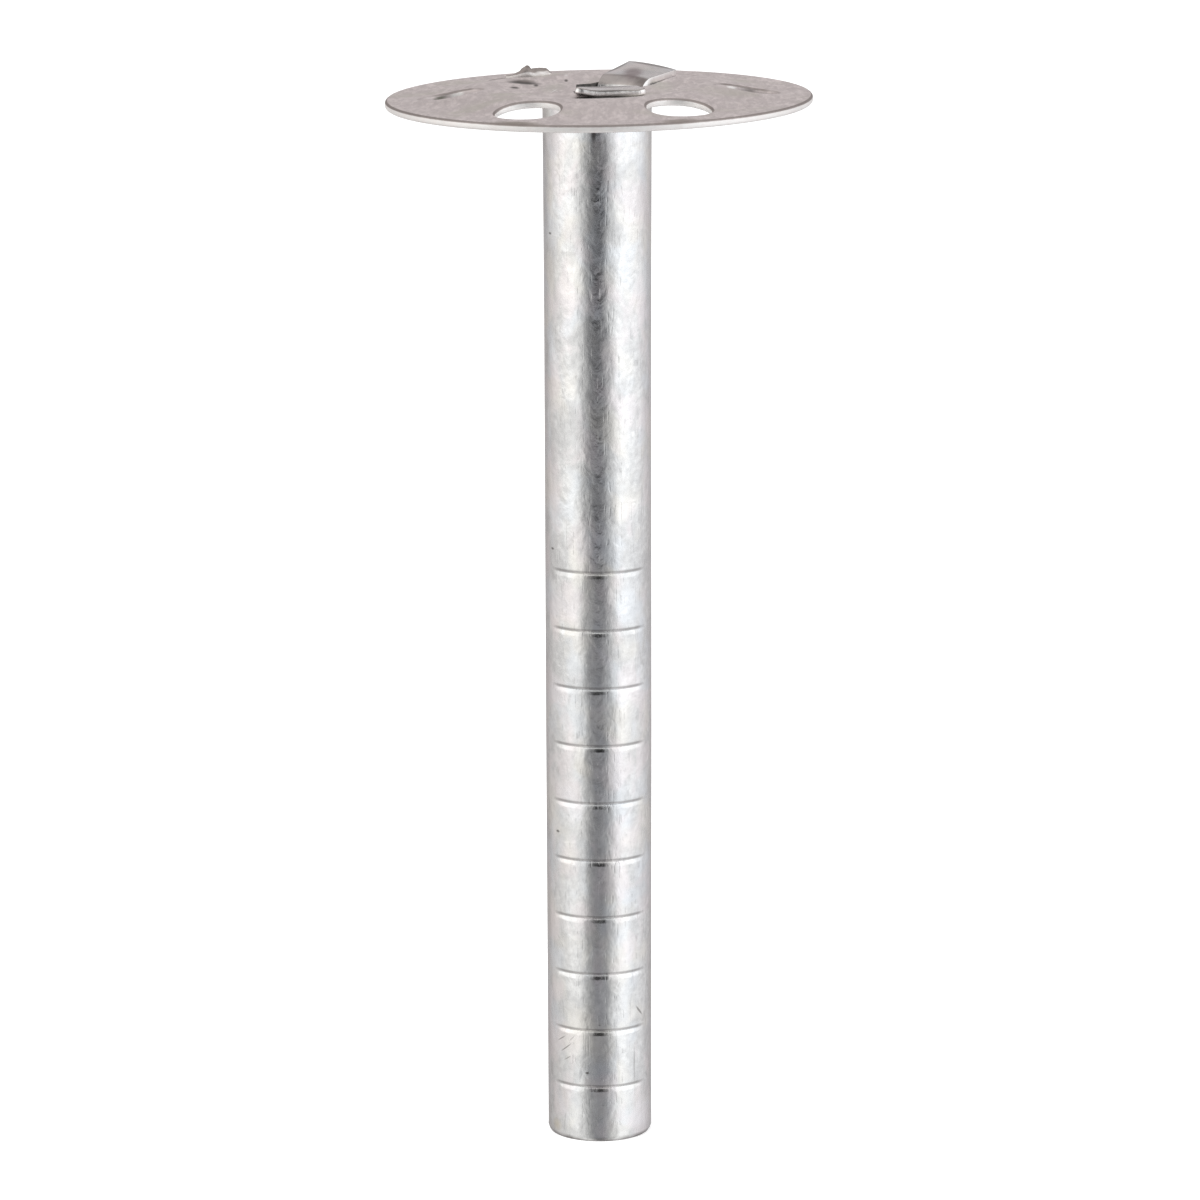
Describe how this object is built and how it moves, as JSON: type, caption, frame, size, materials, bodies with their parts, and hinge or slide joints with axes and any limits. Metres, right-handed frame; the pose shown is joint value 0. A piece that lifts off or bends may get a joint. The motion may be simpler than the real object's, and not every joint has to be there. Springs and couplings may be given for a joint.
{
  "type": "metal insulation fixing",
  "caption": "Galvanised steel insulation fixing: a round perforated head plate staked on a split sleeve with pressed cross grooves, driven into a drilled hole.",
  "frame": {"origin": "centre of the sleeve's square-cut lower end", "axes": "+Z along the sleeve to the head plate; the pressed grooves face -Y"},
  "size_m": [0.035, 0.035, 0.0897],
  "materials": {
    "matt_galvanised_plate": "matt galvanised steel, mottled and faintly scratched",
    "bright_galvanised_sleeve": "bright galvanised steel, blotched, drawn and scuffed along its length"
  },
  "bodies": {
    "root": {"head_plate": "matt_galvanised_plate", "split_sleeve": "bright_galvanised_sleeve"}
  },
  "joints": []
}
